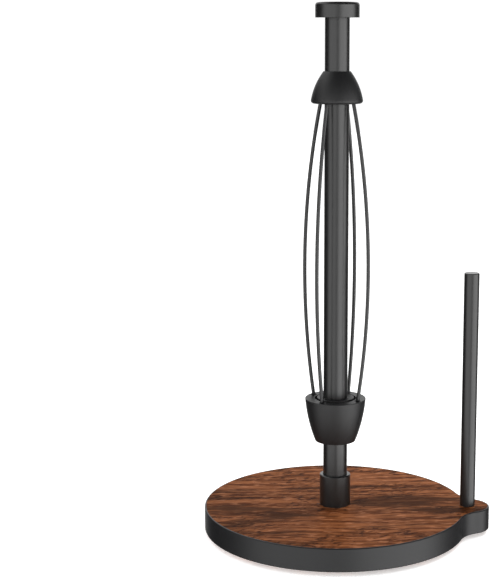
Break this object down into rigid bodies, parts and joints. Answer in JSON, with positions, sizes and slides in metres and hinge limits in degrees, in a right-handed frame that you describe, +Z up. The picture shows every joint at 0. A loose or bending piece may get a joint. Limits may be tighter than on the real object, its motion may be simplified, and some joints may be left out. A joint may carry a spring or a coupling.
{
  "type": "paper towel holder",
  "caption": "Free-standing kitchen roll holder: wood-faced round base on suction cups, upright pole with a sprung wire cage that turns and clicks, and a side rod to tear against.",
  "frame": {"origin": "on the pole's axis, on the counter, at the centre of the four suction cups", "axes": "+Z up along the pole, +X from the pole towards the tear rod, +Y to the left of that"},
  "size_m": [0.1909, 0.175, 0.35],
  "materials": {
    "rustic_laminate": "matte printed laminate, rustic brown with dark streaks",
    "fibreboard": "raw fibreboard, hidden by its faces and edge band",
    "edge_banding": "charcoal edge band, satin",
    "black_coated_steel": "satin black powder coat",
    "coated_spring_wire": "satin black coated spring wire",
    "black_moulding": "moulded, fine matte black",
    "clear_vinyl": "clear soft vinyl, glossy",
    "zinc_steel": "bright zinc plate",
    "acetal": "natural acetal, machined"
  },
  "bodies": {
    "stand": {"base_board": "fibreboard", "top_laminate": "rustic_laminate", "bottom_laminate": "rustic_laminate", "edge_band": "edge_banding", "suction_cup_1": "clear_vinyl", "suction_cup_2": "clear_vinyl", "suction_cup_3": "clear_vinyl", "suction_cup_4": "clear_vinyl", "pole_screw": "zinc_steel", "rod_screw": "zinc_steel", "pole": "black_coated_steel", "pole_foot_nut": "zinc_steel", "base_sleeve": "black_coated_steel", "top_cap": "black_coated_steel", "cap_stud": "zinc_steel", "pole_top_nut": "zinc_steel", "tear_rod": "black_coated_steel", "click_hub": "acetal", "hub_pin": "zinc_steel", "click_spring": "acetal", "thrust_washer": "acetal", "hub_collar": "black_moulding"},
    "cage": {"lower_cup": "black_moulding", "click_ring": "acetal", "cup_cover": "black_moulding", "cage_wire_1": "coated_spring_wire", "cage_wire_2": "coated_spring_wire", "cage_wire_3": "coated_spring_wire", "cage_wire_4": "coated_spring_wire"},
    "dome": {"upper_dome": "black_moulding", "dome_bush": "acetal"}
  },
  "joints": [
    {"name": "cage_spin", "type": "hinge", "parent": "stand", "child": "cage", "pos_m": [0, 0, 0.0765], "axis": [0, 0, 1], "continuous": true, "deforming": ["click_spring"]},
    {"name": "dome_slide", "type": "slide", "parent": "cage", "child": "dome", "axis": [0, 0, 1], "range_m": [-0.002, 0.0011], "stiffness_N_per_m": 2000, "deforming": ["cage_wire_1", "cage_wire_2", "cage_wire_3", "cage_wire_4"]}
  ]
}
